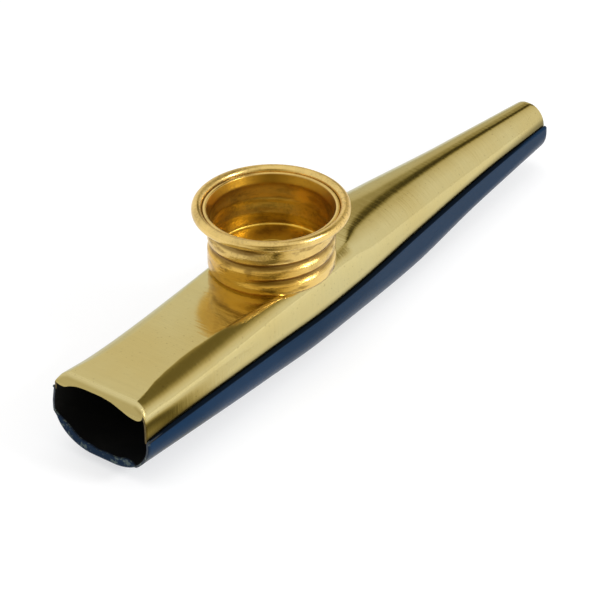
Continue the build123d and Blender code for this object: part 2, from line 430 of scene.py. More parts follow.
def cut_round_hole(mesh, centre_x, radius):
    """Opens a round hole through the flat top of a sheet."""
    centre = Vector((centre_x * MM, 0.0))
    with reworked(mesh) as work:
        inside = [face for face in work.faces if face.normal.z > 0.9
                  and (face.calc_center_median().xy - centre).length < radius * MM]
        bmesh.ops.delete(work, geom=inside, context="FACES")
        for vertex in work.verts:
            offset = vertex.co.xy - centre
            if vertex.is_boundary and offset.length < 1.4 * radius * MM:
                vertex.co.xy = centre + offset.normalized() * radius * MM


def rounded_outline(corners, wall_step=0.17, flat_step=0.7, arc_step=14.0):
    """Closed outline through (radius, height, fillet) corners, with points along long runs."""
    count = len(corners)
    pieces = []
    for i in range(count):
        here = Vector(corners[i][:2])
        back = Vector(corners[i - 1][:2]) - here
        ahead = Vector(corners[(i + 1) % count][:2]) - here
        opening = back.angle(ahead)
        fillet = corners[i][2]
        if fillet <= 0 or opening > math.pi - 1e-4:
            pieces.append([here])
            continue
        reach = fillet / math.tan(opening / 2)
        centre = here + (back.normalized() + ahead.normalized()).normalized() * (
            fillet / math.sin(opening / 2))
        first = here + back.normalized() * reach - centre
        last = here + ahead.normalized() * reach - centre
        sweep = first.angle_signed(last)
        steps = max(2, round(abs(math.degrees(sweep)) / arc_step))
        pieces.append([centre + Matrix.Rotation(-sweep * k / steps, 2) @ first
                       for k in range(steps + 1)])
    outline = []
    for i in range(count):
        outline.extend(pieces[i])
        start, end = pieces[i][-1], pieces[(i + 1) % count][0]
        run = end - start
        step = wall_step if abs(run.y) > abs(run.x) else flat_step
        for k in range(1, int(run.length / step)):
            outline.append(start + run * (k / int(run.length / step)))
    return [(point.x, point.y) for point in outline]


def new_piece(name, mesh, *materials):
    """Object in the scene with the given mesh and materials."""
    for material in materials:
        mesh.materials.append(material)
    piece = bpy.data.objects.new(name, mesh)
    bpy.context.scene.collection.objects.link(piece)
    return piece


def spun_piece(name, outline, segments, *materials):
    """Piece with a closed outline turned about the turret's axis."""
    points = []
    for k in range(segments):
        angle = 2 * math.pi * k / segments
        for radius, height in outline:
            points.append(((turret_x + radius * math.cos(angle)) * MM,
                           radius * math.sin(angle) * MM, (seat_z + height) * MM))
    mesh = new_mesh(name, points, grid_faces(segments, len(outline), True, True))
    with reworked(mesh) as work:
        bmesh.ops.recalc_face_normals(work, faces=work.faces)
    return new_piece(name, mesh, *materials)


def settle(piece):
    """Turns the piece and its modifiers into a plain mesh."""
    bpy.context.view_layer.update()
    evaluated = piece.evaluated_get(bpy.context.evaluated_depsgraph_get())
    plain = bpy.data.meshes.new_from_object(evaluated)
    piece.modifiers.clear()
    old = piece.data
    piece.data = plain
    bpy.data.meshes.remove(old)
    plain.name = piece.name


def thicken(piece, sheet):
    """Gives an outer skin its sheet inwards, with a painted-shade inner wall and broken edges."""
    with reworked(piece.data) as work:
        work.normal_update()
        skin = list(work.faces)
        rims = [edge.link_loops[0] for edge in work.edges if edge.is_boundary]
        rims = [(loop.vert, loop.link_loop_next.vert) for loop in rims]
        inner = {}
        for vertex in list(work.verts):
            reach = sheet * min(vertex.calc_shell_factor(), 1.4)
            inner[vertex] = work.verts.new(vertex.co - vertex.normal * reach)
        for face in skin:
            wall = work.faces.new([inner[vertex] for vertex in reversed(face.verts)])
            wall.material_index = 1
            wall.smooth = True
        for first, second in rims:
            rim = work.faces.new((second, first, inner[first], inner[second]))
            rim.material_index = 2
            rim.smooth = True
    bevel = piece.modifiers.new("Broken edges", "BEVEL")
    bevel.width = 0.07 * MM
    bevel.segments = 2
    bevel.limit_method = "ANGLE"
    bevel.angle_limit = math.radians(55)
    settle(piece)


# Nodes


class Field:
    """Value on a node's output. Arithmetic on it adds Math nodes."""

    def __init__(self, board, socket):
        self.board = board
        self.socket = socket

    def output(self, name):
        """Another output of the same node."""
        return Field(self.board, self.socket.node.outputs[name])

    def maths(self, operation, *values):
        """Math node on the given values or fields."""
        return self.board.node("ShaderNodeMath", {"operation": operation}, dict(enumerate(values)))

    def __add__(self, other):
        return self.maths("ADD", self, other)

    def __radd__(self, other):
        return self.maths("ADD", other, self)

    def __sub__(self, other):
        return self.maths("SUBTRACT", self, other)

    def __rsub__(self, other):
        return self.maths("SUBTRACT", other, self)

    def __mul__(self, other):
        return self.maths("MULTIPLY", self, other)

    def __rmul__(self, other):
        return self.maths("MULTIPLY", other, self)

    def __truediv__(self, other):
        return self.maths("DIVIDE", self, other)

    def __rtruediv__(self, other):
        return self.maths("DIVIDE", other, self)

    def __pow__(self, power):
        return self.maths("POWER", self, power)

    def __abs__(self):
        return self.maths("ABSOLUTE", self)

    def between(self, low, high):
        """0 below low, 1 above high, smooth between them."""
        return self.board.node("ShaderNodeMapRange", {"interpolation_type": "SMOOTHSTEP"},
                               {"Value": self, "From Min": low, "From Max": high})


class NodeBoard:
    """A node tree, and one way to add any node to it."""

    def __init__(self, tree):
        self.tree = tree

    def node(self, kind, settings=None, inputs=None, output=0):
        """Adds a node, with its settings and then its sockets' values or links."""
        made = self.tree.nodes.new(kind)
        for name, value in (settings or {}).items():
            setattr(made, name, value)
        for name, value in (inputs or {}).items():
            socket = made.inputs[name]
            if isinstance(value, Field):
                self.tree.links.new(value.socket, socket)
            else:
                socket.default_value = value
        return Field(self, made.outputs[output]) if made.outputs else None


class Finish(NodeBoard):
    """A material under construction, with the patterns that these metals share."""

    def __init__(self, name, constants):
        self.material = bpy.data.materials.new(name)
        self.material.use_nodes = True
        super().__init__(self.material.node_tree)
        self.shader = self.tree.nodes["Principled BSDF"]
        for key, value in constants.items():
            self.shader.inputs[key].default_value = value
        self.point = self.node("ShaderNodeTexCoord", output="Object")

    def feed(self, name, field):
        """Links a field to an input of the shader."""
        self.tree.links.new(field.socket, self.shader.inputs[name])

    def moved(self, location=(0, 0, 0), scale=(1, 1, 1), point=None):
        """The surface point, or another one, scaled and then shifted."""
        return self.node("ShaderNodeMapping", None, {"Vector": point or self.point,
                                                     "Location": location, "Scale": scale})

    def noise(self, point, scale, detail, roughness):
        """Noise of one scale in all directions, from 0 to 1."""
        return self.node("ShaderNodeTexNoise", None, {"Vector": point, "Scale": scale,
                                                      "Detail": detail, "Roughness": roughness})

    def streaks(self, scale, detail, roughness, point=None):
        """Noise with a scale of its own in each direction."""
        return self.noise(self.moved(scale=scale, point=point), 1.0, detail, roughness)

    def blend(self, factor, first, second):
        """Colour between two colours."""
        first = first if isinstance(first, Field) else (*first, 1.0)
        second = second if isinstance(second, Field) else (*second, 1.0)
        return self.node("ShaderNodeMix", {"data_type": "RGBA"},
                         {0: factor, 6: first, 7: second}, output=2)

    def bump(self, height, distance, below=None):
        """Normal bent by a height whose full range is the given distance in metres."""
        inputs = {"Height": height, "Distance": distance, "Strength": 1.0}
        if below:
            inputs["Normal"] = below
        return self.node("ShaderNodeBump", None, inputs)

    def axes_from(self, x, z):
        """X, Y and Z from a place on the body's middle plane, in millimetres."""
        place = self.moved((-x, 0, -z), (1 / MM, 1 / MM, 1 / MM))
        first = self.node("ShaderNodeSeparateXYZ", None, {0: place})
        return first, first.output("Y"), first.output("Z")

    def finished(self, tint, roughness, normal):
        """The material, fed with what varies over its surface."""
        self.feed("Base Color", tint)
        self.feed("Roughness", roughness)
        self.feed("Normal", normal)
        return self.material


# Finishes


def darker(tint, share):
    """A share of a colour's light."""
    return tuple(channel * share for channel in tint)


def brushed_brass(body):
    """Pale brass, brushed across the body and lacquered, with painted shade along the crimp and on
    the lip.
    """
    finish = Finish("brushed_brass", {"Metallic": 1.0, "Specular Tint": (0.72, 0.75, 0.72, 1.0)})
    grain = finish.streaks((5200, 110, 110), 3.0, 0.6)
    hair = finish.streaks((13000, 300, 300), 2.0, 0.5)
    stroke = finish.streaks((1900, 90, 90), 2.0, 0.6)
    cloud = finish.noise(finish.point, 55.0, 3.0, 0.55)
    speck = finish.noise(finish.point, 2600.0, 1.0, 0.4).between(0.70, 0.76)
    x, _, z = finish.axes_from(mouth_x, seam_z)
    # Painted shade: the gold darkens towards the crimp, where the seam lies in shade.
    seam_shade = 1 - z.between(-0.1, 1.4)
    # Painted shade: the lip's front face is darker and deeper in colour than the top.
    lip_shade = 1 - x.between(0.05, 0.45)
    near_lip = z.between(3.5, 4.2) * (1 - x.between(0.3, 1.1))
    tint = finish.blend(cloud.between(0.3, 0.7), body.brass, (0.60, 0.485, 0.20))
    tint = finish.blend(grain.between(0.35, 0.75) * 0.10, tint, darker(body.brass, 0.55))
    tint = finish.blend(speck * 0.35, tint, (0.16, 0.115, 0.03))
    tint = finish.blend(lip_shade * 0.75, tint, (0.40, 0.31, 0.10))
    brushed = finish.bump(0.65 * grain + 0.35 * hair, 5e-6)
    return finish.finished(
        finish.blend(seam_shade * 0.8, tint, (0.10, 0.075, 0.02)),
        0.07 + 0.06 * grain + 0.04 * cloud + 0.12 * seam_shade + 0.35 * near_lip,
        finish.bump(stroke, 2.2e-5, brushed))


def sheared_brass():
    """Bare sheared edge of the brass sheet, streaked through its thickness; its deep brown is
    painted shade.
    """
    finish = Finish("sheared_brass", {"Metallic": 1.0})
    # Painted shade: the edge is a dark brown instead of bright brass.
    tint = (0.15, 0.11, 0.045)
    streak = finish.streaks((2600, 2600, 2600), 3.0, 0.7)
    return finish.finished(finish.blend(streak.between(0.35, 0.7), tint, darker(tint, 0.5)),
                           0.3 + 0.25 * streak, finish.bump(streak, 1e-5))


def shaded_inside():
    """Near-black inner wall of the shells, uneven and matt: painted shade for the body's dark
    inside.
    """
    finish = Finish("shaded_inside", {"Specular IOR Level": 0.25})
    cloud = finish.noise(finish.point, 140.0, 4.0, 0.6)
    fine = finish.noise(finish.point, 2200.0, 2.0, 0.6)
    tint = finish.blend(cloud.between(0.3, 0.7), (0.0035, 0.0036, 0.004), (0.008, 0.0075, 0.0065))
    return finish.finished(tint, 0.55 + 0.25 * fine, finish.bump(fine, 6e-6))


def blue_paint(body):
    """Glossy dark blue stove paint with fine orange peel, chipped along the mouth's edge; painted
    shadow on the crimp, painted shade further back.
    """
    finish = Finish("blue_paint", {"IOR": 1.5, "Specular IOR Level": 0.05,
                                   "Specular Tint": (0.6, 0.8, 1.0, 1.0)})
    cloud = finish.noise(finish.point, 70.0, 3.0, 0.5)
    peel = finish.noise(finish.point, 900.0, 2.0, 0.5)
    ragged = finish.noise(finish.point, 1500.0, 4.0, 0.65)
    patch = finish.noise(finish.moved((3.1, 0.7, 1.9)), 420.0, 3.0, 0.6)
    x, _, z = finish.axes_from(mouth_x, seam_z)
    near_mouth = 1 - x.between(0.1, 0.9)
    # Painted shade: the paint grows darker from the mouth towards the far end.
    behind = x.between(5.0, 50.0)
    # Painted shadow: the crimp's top, in the gap under the gold shell, is near-black and matt.
    crimp_shadow = z.between(-0.75, -0.3)
    chip = near_mouth * (0.6 * patch + 0.4 * ragged).between(0.53, 0.60)
    scuff = (ragged * 0.6 + patch * 0.4).between(0.66, 0.72)
    tint = finish.blend(cloud.between(0.3, 0.7), body.paint, darker(body.paint, 1.2))
    tint = finish.blend(scuff * 0.2, tint, darker(body.paint, 2.4))
    tint = finish.blend(near_mouth * 0.65, tint, darker(body.paint, 0.3))
    tint = finish.blend(behind * 0.5, tint, (0.0, 0.012, 0.03))
    tint = finish.blend(crimp_shadow * 0.9, tint, (0.001, 0.0012, 0.0015))
    return finish.finished(
        finish.blend(chip * 0.45, tint, body.primer),
        0.22 + 0.08 * cloud + 0.35 * chip + 0.1 * scuff + 0.65 * crimp_shadow,
        finish.bump(peel - 0.6 * chip, 9e-6))


def chipped_edge(body):
    """Sheared edge of the painted sheet, paint worn off in places."""
    finish = Finish("chipped_edge", {"IOR": 1.5})
    ragged = finish.noise(finish.point, 800.0, 4.0, 0.7)
    x, _, _ = finish.axes_from(mouth_x, seam_z)
    bare = ragged.between(0.52, 0.62) * (1 - x.between(0.4, 0.9))
    finish.feed("Metallic", bare * 0.4)
    return finish.finished(finish.blend(bare, darker(body.paint, 0.5), body.primer),
                           0.4 + 0.3 * ragged, finish.bump(ragged, 2e-5))


class LatheBrass(Finish):
    """Yellow brass turned on a lathe: rings, clouds, stains, and rough spots on the bead."""

    def __init__(self, name, turret):
        super().__init__(name, {"Metallic": 1.0})
        self.turret = turret
        self.wall = turret.radius / MM
        x, y, self.height = self.axes_from(turret_x, seat_z)
        self.radius = (x * x + y * y) ** 0.5
        self.angle = y.maths("ARCTAN2", y, x)
        sway = y.maths("SINE", self.angle + 0.8)
        place = self.node("ShaderNodeCombineXYZ", None, {0: self.radius, 1: sway, 2: self.height})
        self.rings = self.streaks((7, 1, 7), 3.0, 0.6, place)
        self.fine = self.streaks((22, 3, 22), 2.0, 0.5, place)
        self.bands = self.streaks((230, 230, 800), 4.0, 0.6)
        self.cloud = self.noise(self.point, 160.0, 3.0, 0.6)
        self.pits = self.noise(self.point, 2100.0, 3.0, 0.65)
        self.worn = self.noise(self.moved((1.7, 4.2, 0.4)), 95.0, 2.0, 0.5).between(0.3, 0.5)
        on_bead = self.radius.between(self.wall + 0.7, self.wall + 1.1)
        sides = self.facing(300, 0.75, 0.97) + 0.7 * self.facing(95, 0.72, 0.97)
        self.rough_spot = on_bead * self.worn * sides

    def facing(self, azimuth, low, high):
        """1 on the side that lies toward an azimuth in degrees, 0 away from it."""
        return self.angle.maths("COSINE", self.angle - math.radians(azimuth)).between(low, high)

    def mottled(self, tint):
        """A brass with darker clouds."""
        return self.blend(self.cloud.between(0.35, 0.7), tint, darker(tint, 0.8))

    def worn_in(self, shade, matt, relief=None):
        """The material, with stains and rough spots over its shade, and a relief if it has one."""
        tarnish = self.turret.tarnish
        stain = (0.5 * self.cloud + 0.5 * self.pits).between(0.50, 0.66)
        shade = self.blend(self.rough_spot * self.pits.between(0.45, 0.7) * 0.5, shade, tarnish)
        turned = self.bump(0.7 * self.rings + 0.3 * self.fine, 1e-5)
        if relief:
            turned = self.bump(relief, 1.6e-4, turned)
        return self.finished(
            self.blend(stain * 0.3, shade, tarnish),
            0.13 + 0.10 * self.rings + 0.2 * self.rough_spot + matt + 0.08 * self.cloud,
            self.bump(self.pits * self.rough_spot, 3.5e-5, turned))


def turret_brass(turret):
    """Brass of the turret: tarnish in the rolled thread and in bands, a painted reflection of the
    gold shell low on one side.
    """
    brass = LatheBrass("spun_turret_brass", turret)
    rolled = brass.node("ShaderNodeAttribute", {"attribute_name": "rolled"}, output="Fac")
    groove = rolled.between(0.25, 0.85)
    on_wall = 1 - brass.radius.between(brass.wall + 0.2, brass.wall + 0.6)
    # Painted reflection: the low wall on one side is deep orange, as if mirroring the gold shell.
    foot = (1 - brass.height.between(2.5, 8.0)) * brass.facing(190, 0.1, 0.9)
    shade = brass.blend(foot * 0.85, brass.mottled(turret.brass), (0.64, 0.36, 0.04))
    shade = brass.blend(groove * (0.4 + 0.6 * brass.worn) * 0.75, shade, turret.tarnish)
    shade = brass.blend(on_wall * brass.bands.between(0.52, 0.66) * 0.6, shade, turret.tarnish)
    return brass.worn_in(shade, 0.15 * groove, on_wall * brass.bands)


def cap_brass(turret):
    """Brass of the cap, with painted shade inside: deeper brass, red-brown near the lip, a darker
    floor, stains in bands.
    """
    brass = LatheBrass("drawn_cap_brass", turret)
    ledge = turret.ledge_height / MM
    # Painted shade: inside the cup the brass is deeper and more saturated than outside.
    inside = 1 - brass.radius.between(brass.wall - 0.1, brass.wall + 0.15)
    within = 1 - brass.radius.between(brass.wall - 1.4, brass.wall - 1.0)
    # Painted shade: the cup's floor is darker.
    cup_floor_shade = within * (1 - brass.height.between(1.6, 2.2))
    # Painted shade: a red-brown band inside the cup below its lip.
    near_lip = brass.height.between(ledge - 1.9, ledge - 0.6)
    # The floor's painted shade, with real stains in bands.
    floor_shade_and_stains = cup_floor_shade * 0.5 + 0.35 * brass.bands.between(0.45, 0.65)
    cup_inside_shade = brass.blend(floor_shade_and_stains, brass.mottled(turret.cap_brass), turret.tarnish)
    cup_inside_shade = brass.blend(near_lip * 0.85, cup_inside_shade, (0.33, 0.15, 0.007))
    shade = brass.blend(inside, brass.mottled(turret.brass), cup_inside_shade)
    return brass.worn_in(shade, 0.12 * inside)


def vulcanised_fibre(turret):
    """Matt fibre board with short felted strands."""
    finish = Finish("vulcanised_fibre", {"Specular IOR Level": 0.3})
    strands = finish.streaks((900, 2600, 900), 4.0, 0.65)
    cross = finish.streaks((2600, 800, 900), 4.0, 0.65)
    felt = 0.5 * strands + 0.5 * cross
    tint = finish.blend(felt.between(0.35, 0.65), turret.fibre, darker(turret.fibre, 0.55))
    return finish.finished(tint, 0.72 + 0.2 * felt, finish.bump(felt, 2e-5))


def waxed_film(turret):
    """Thin waxed film, cloudy and slightly crinkled."""
    finish = Finish("waxed_film", {"Transmission Weight": 0.25, "IOR": 1.4})
    cloud = finish.noise(finish.point, 500.0, 4.0, 0.6)
    crease = finish.streaks((500, 1500, 500), 3.0, 0.6)
    tint = finish.blend(cloud.between(0.3, 0.7), turret.film, darker(turret.film, 0.8))
    return finish.finished(tint, 0.32 + 0.2 * cloud, finish.bump(crease, 1.5e-5))


# Rolled thread

# In millimetres and in turns
THREAD_HALF_WIDTH = 1.1
THREAD_FADE = 0.14


def rolled_thread_tree(sizes):
    """Geometry Nodes that roll a helical thread into the wall of a spun blank."""
    tree = bpy.data.node_groups.new("Rolled thread", "GeometryNodeTree")
    tree.interface.new_socket("Blank", in_out="INPUT", socket_type="NodeSocketGeometry")
    for name in sizes:
        tree.interface.new_socket(name, in_out="INPUT", socket_type="NodeSocketFloat")
    tree.interface.new_socket("Finish", in_out="INPUT", socket_type="NodeSocketMaterial")
    tree.interface.new_socket("Threaded", in_out="OUTPUT", socket_type="NodeSocketGeometry")
    board = NodeBoard(tree)
    blank = board.node("NodeGroupInput")
    size = blank.output
    place = board.node("GeometryNodeInputPosition")
    x = board.node("ShaderNodeSeparateXYZ", None, {0: place})
    y, z = x.output("Y"), x.output("Z")
    x = x - size("Axis")
    radius = (x * x + y * y) ** 0.5
    around = (x.maths("ARCTAN2", y, x) - size("Start Angle")) / (2 * math.pi)
    around = around.maths("FRACT", around)
    climb = (z - size("Seat") - size("Start")) / size("Pitch")
    lap = climb.maths("ROUND", climb - around)
    along = lap + around
    nearness = 1 - abs(climb - along) * size("Pitch") / size("Half Width")
    groove = nearness.between(0.0, 1.0)
    run_in = ((along - size("First Turn")) / size("Fade")).between(0.0, 1.0)
    run_out = ((size("Last Turn") - along) / size("Fade")).between(0.0, 1.0)
    on_wall = radius.between(size("Floor Radius"), size("Wall Radius"))
    under_rim = radius.maths("LESS_THAN", radius, size("Rim Radius"))
    rolled = groove * run_in * run_out * on_wall * under_rim
    outside = radius.maths("GREATER_THAN", radius, size("Skin Radius"))
    depth = size("Inner Depth") + outside * (size("Outer Depth") - size("Inner Depth"))
    inward = rolled * depth / radius
    shift = board.node("ShaderNodeCombineXYZ", None, {0: 0 - x * inward, 1: 0 - y * inward})
    threaded = board.node("GeometryNodeSetPosition", None, {"Geometry": blank, "Offset": shift})
    threaded = board.node("GeometryNodeStoreNamedAttribute",
                          {"data_type": "FLOAT", "domain": "POINT"},
                          {"Geometry": threaded, "Name": "rolled", "Value": rolled})
    threaded = board.node("GeometryNodeRealizeInstances", None, {"Geometry": threaded})
    threaded = board.node("GeometryNodeSetMaterial", None,
                          {"Geometry": threaded, "Material": size("Finish")})
    board.node("NodeGroupOutput", None, {"Threaded": threaded})
    return tree


def roll_thread(piece, turret, finish, wall, turns, depths, shows):
    """Runs the rolled-thread tree on a spun blank and keeps the result as a plain mesh.

    turns are where the thread begins, counted from its start, and how far it runs past its end.
    depths, inside and outside the wall, are shares of the turret's thread depth. shows are the
    radii between which the thread fades in from the floor.
    """
    sizes = {
        "Axis": turret_x * MM,
        "Seat": seat_z * MM,
        "Pitch": turret.pitch,
        "Start": turret.thread_start,
        "Start Angle": turret.thread_angle,
        "First Turn": turns[0],
        "Last Turn": turns[1] + (turret.thread_end - turret.thread_start) / turret.pitch,
        "Fade": THREAD_FADE,
        "Inner Depth": depths[0] * turret.thread_depth,
        "Outer Depth": depths[1] * turret.thread_depth,
        "Half Width": THREAD_HALF_WIDTH * MM,
        "Floor Radius": shows[0] * MM,
        "Wall Radius": shows[1] * MM,
        "Skin Radius": wall * MM - turret.sheet / 2,
        "Rim Radius": (wall + 0.2) * MM,
    }
    tree = bpy.data.node_groups.get("Rolled thread") or rolled_thread_tree(sizes)
    modifier = piece.modifiers.new("Rolled thread", "NODES")
    modifier.node_group = tree
    values = {**sizes, "Finish": finish}
    for socket in tree.interface.items_tree:
        if socket.in_out == "INPUT" and socket.name in values:
            modifier[socket.identifier] = values[socket.name]
    settle(piece)


# Screens that the metal reflects

SHOULDER_BAND = FairLine({30: 0.06, 40: 0.12, 46: 0.17, 53: 0.28, 62: 0.45, 74: 0.6, 87: 0.78,
                          95: 0.84, 110: 0.84, 125: 0.82, 132: 0.7, 141: 0.5, 147: 0.34, 152: 0.22,
                          160: 0.12, 168: 0.02, 175: 0.0})
CREST_BAND = FairLine({5: 0.25, 20: 0.28, 28: 0.33, 33: 0.45, 38: 0.8, 43: 0.95, 53: 0.94, 58: 0.65,
                       64: 0.33, 77: 0.2, 90: 0.12, 107: 0.06, 125: 0.0})
BAND_LIFT = FairLine({0.65: 0.0, 0.76: 1.0})
CREST_RISE = FairLine({56: 0.1, 74: 0.0})
BAND_REACH = FairLine({0.15: 0.0, 0.35: 1.0, 1.15: 1.0, 1.35: 0.0})
CARD_FADE = FairLine({22: 0.0, 32: 1.0, 300: 1.0, 452: 0.0})
# The dome in metres, the rest in degrees
DOME_RADIUS = 0.6
DOME_LIFT = 0.001
FAR_WIDTH = 55
FAR_HEIGHT = 59
CAMERA_SIDE = 217
CAMERA_WIDTH = 32
CAMERA_HEIGHT = 20
CARD_WIDTH = 20


def on_dome(azimuth, elevation):
    """Point on a dome over the stage."""
    turn, rise = math.radians(azimuth), math.radians(elevation)
    level = DOME_RADIUS * math.cos(rise)
    return (level * math.cos(turn), level * math.sin(turn), DOME_RADIUS * math.sin(rise) + DOME_LIFT)


def over_floor(azimuth, distance):
    """Point just over the floor, at a distance from the turret in millimetres."""
    turn = math.radians(azimuth)
    return ((turret_x + distance * math.cos(turn)) * MM, distance * math.sin(turn) * MM, MM)


def far_shade(azimuth, elevation):
    """Darkness beyond the body: one band shades the shoulder, a lower one the far crest."""
    across, rise = azimuth / FAR_WIDTH, elevation / FAR_HEIGHT
    turn = math.degrees(math.atan2(rise, across))
    reach = math.hypot(across, rise)
    crest = CREST_BAND(turn)
    lift = BAND_LIFT(reach - CREST_RISE(turn))
    return BAND_REACH(reach) * (crest + (SHOULDER_BAND(turn) - crest) * lift)


def camera_shade(azimuth, elevation):
    """Darkness round the camera, strongest low at its middle."""
    across = (azimuth - CAMERA_SIDE) / CAMERA_WIDTH
    rise = (elevation - CAMERA_HEIGHT) / CAMERA_HEIGHT
    return 0.93 * math.exp(-across ** 2 - rise ** 2)


def floor_shade(azimuth, distance):
    """Darkness of the floor on the camera's side."""
    across = (azimuth - CAMERA_SIDE) / CARD_WIDTH
    return 0.9 * CARD_FADE(distance) * math.exp(-across ** 2)


# Operators

SEGMENTS = 288
# Lengths of the pieces, in millimetres
NECK_HOLE = 6.65
SEAT_WIDTH = 4.0
WASHER_WIDTH = 2.6
TURNING_GAP = 0.02
# Places and sizes on the stage, in metres, and its colours
FLOOR_REACH = 3.0
OVERHEAD_PLACE = (-0.05, 0.15, 0.75)
OVERHEAD_SIZE = (0.8, 0.8)
SIDE_PLACE = (0.07, -0.33, 0.24)
SIDE_SIZE = (0.12, 0.10)
SCREEN_TONE = (1.25, 1.0, 0.25)
WHITE = (1.0, 1.0, 1.0)
BLACK = (0.0, 0.0, 0.0)


class KAZOO_OT_lower_shell(Operator):
    """Builds the painted lower shell with its crimps and turned-up lip"""
    bl_idname = "kazoo.lower_shell"
    bl_label = "Lower shell"

    def execute(self, context):
        body = context.scene.kazoo_body
        shape = BodyShape(body)
        mouth = lower_outline(shape.at(0.0), shape)
        lip_top, lip_right = -1.9, -7.0
        lip = [i for i, (y, z) in enumerate(mouth) if z < lip_top and y > lip_right]
        first, last = lip[0], lip[-1]
        free_edge = FairLine({mouth[last][0]: mouth[last][1], -5.9: -5.35, -5.0: -5.2, -3.7: -5.6,
                              -2.2: -5.85, -0.5: -5.8, 1.2: -5.95, 2.1: -5.7, 4.0: -5.5, 5.7: -4.7,
                              6.7: -3.9, 8.3: -2.9, mouth[first][0]: mouth[first][1]})
        folds = fold_edges(mouth, first, last, free_edge)
        bend = 0.6 * body.bend / MM
        rows = shell_rows(lower_outline, shape, folds, bend, end=shape.length, spacing=0.7)
        piece = new_piece("painted_lower_shell", sheet_mesh("painted_lower_shell", rows),
                          blue_paint(body), shaded_inside(), chipped_edge(body))
        thicken(piece, body.sheet)
        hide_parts("lower_shell")
        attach(piece, "body")
        return {"FINISHED"}


class KAZOO_OT_upper_shell(Operator):
    """Builds the brushed upper shell with its turned-down lip and the turret's hole"""
    bl_idname = "kazoo.upper_shell"
    bl_label = "Upper shell"

    def execute(self, context):
        body = context.scene.kazoo_body
        shape = BodyShape(body)
        mouth = upper_outline(shape.at(0.0), shape)
        top = max(z for y, z in mouth)
        notch_right, notch_left = 1.6, 2.2
        lip = [i for i, (y, z) in enumerate(mouth)
               if z > top - (notch_right if y < 0 else notch_left)]
        first, last = lip[0], lip[-1]
        drop = {-8.3: 2.55, -7.3: 2.95, -6.0: 2.8, -4.2: 2.2, -2.0: 1.5, 0.3: 1.27, 2.7: 1.3,
                4.5: 1.45, 6.0: 1.9, 7.7: 2.55, 8.3: 2.52}
        heights = {y: top - fall for y, fall in drop.items()}
        heights[mouth[first][0]] = mouth[first][1]
        heights[mouth[last][0]] = mouth[last][1]
        folds = fold_edges(mouth, first, last, FairLine(heights))
        rows = shell_rows(upper_outline, shape, folds, body.bend / MM,
                          end=shape.length - 0.1, spacing=0.6)
        mesh = sheet_mesh("brushed_upper_shell", rows)
        cut_round_hole(mesh, turret_x, NECK_HOLE)
        piece = new_piece("brushed_upper_shell", mesh, brushed_brass(body), shaded_inside(),
                          sheared_brass())
        thicken(piece, body.sheet)
        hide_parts("upper_shell")
        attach(piece, "body")
        return {"FINISHED"}


class KAZOO_OT_turret(Operator):
    """Builds the spun turret with its rolled thread, ledge, bead and clinched neck"""
    bl_idname = "kazoo.turret"
    bl_label = "Turret"

    def execute(self, context):
        turret = context.scene.kazoo_turret
        wall, sheet, ledge, bead, rim = in_millimetres(
            turret, "radius", "sheet", "ledge_height", "bead", "rim_radius")
        bore = wall - sheet
        bead_top = ledge + 1.5 * bead
        bead_low = ledge - 0.5 * bead
        neck = wall - SEAT_WIDTH
        corners = [
            (wall - 0.3, 0.0, 0.05),
            (wall, 0.5, 0.25),
            (wall, ledge - 1.0, 0.5),
            (wall + 0.67, ledge - sheet, 0.25),
            (rim - 1.55 * bead, ledge - sheet, 0.12),
            (rim - 1.45 * bead, bead_low, 0.1),
            (rim, bead_low, 0.84 * bead),
            (rim, bead_top, 0.98 * bead),
            (rim - 2 * bead, bead_top, 0.98 * bead),
            (rim - 2 * bead, ledge, 0.1),
            (wall + 0.5, ledge, 0.3),
            (bore, ledge - 0.85, 0.5),
            (bore, sheet, 0.2),
            (neck - sheet, sheet, 0.2),
            (neck - sheet, -2 * sheet, 0.2),
            (neck + 0.6, -2 * sheet, 0.1),
            (neck + 0.6, -sheet, 0.05),
            (neck, -sheet, 0.05),
            (neck, 0.0, 0.05),
        ]
        piece = spun_piece("spun_turret", rounded_outline(corners), SEGMENTS)
        roll_thread(piece, turret, turret_brass(turret), wall, turns=(0.0, 0.0),
                    depths=(0.7, 1.2), shows=(9.0, 9.5))
        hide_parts("turret")
        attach(piece, "body")
        return {"FINISHED"}


class KAZOO_OT_screw_cap(Operator):
    """Builds the drawn cup that screws into the turret, with its thread and rolled lip"""
    bl_idname = "kazoo.screw_cap"
    bl_label = "Screw cap"

    def execute(self, context):
        turret = context.scene.kazoo_turret
        outer, sheet, ledge, hole = in_millimetres(
            turret, "radius", "sheet", "ledge_height", "cap_hole")
        wall = outer - sheet - 0.1
        bore = wall - sheet
        low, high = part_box("screw_cap")
        floor = low.z / MM - seat_z
        lip = (high.x - low.x) / 2 / MM
        top = ledge + 0.6
        corners = [
            (hole, floor, 0.08),
            (wall, floor, 0.5),
            (wall, ledge - 0.85, 0.5),
            (lip - 0.55, ledge + 0.02, 0.1),
            (lip, ledge + 0.02, 0.1),
            (lip, top, 0.2),
            (lip - 0.6, top, 0.25),
            (bore + 0.15, ledge - 0.85, 1.0),
            (bore, ledge - 2.5, 4.0),
            (bore, floor + sheet, 0.3),
            (hole, floor + sheet, 0.25),
        ]
        piece = spun_piece("drawn_screw_cap", rounded_outline(corners), SEGMENTS)
        roll_thread(piece, turret, cap_brass(turret), wall, turns=(-2.0, 0.16),
                    depths=(0.3, 0.6), shows=(8.2, 9.75))
        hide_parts("screw_cap")
        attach(piece, "screw_cap")
        return {"FINISHED"}


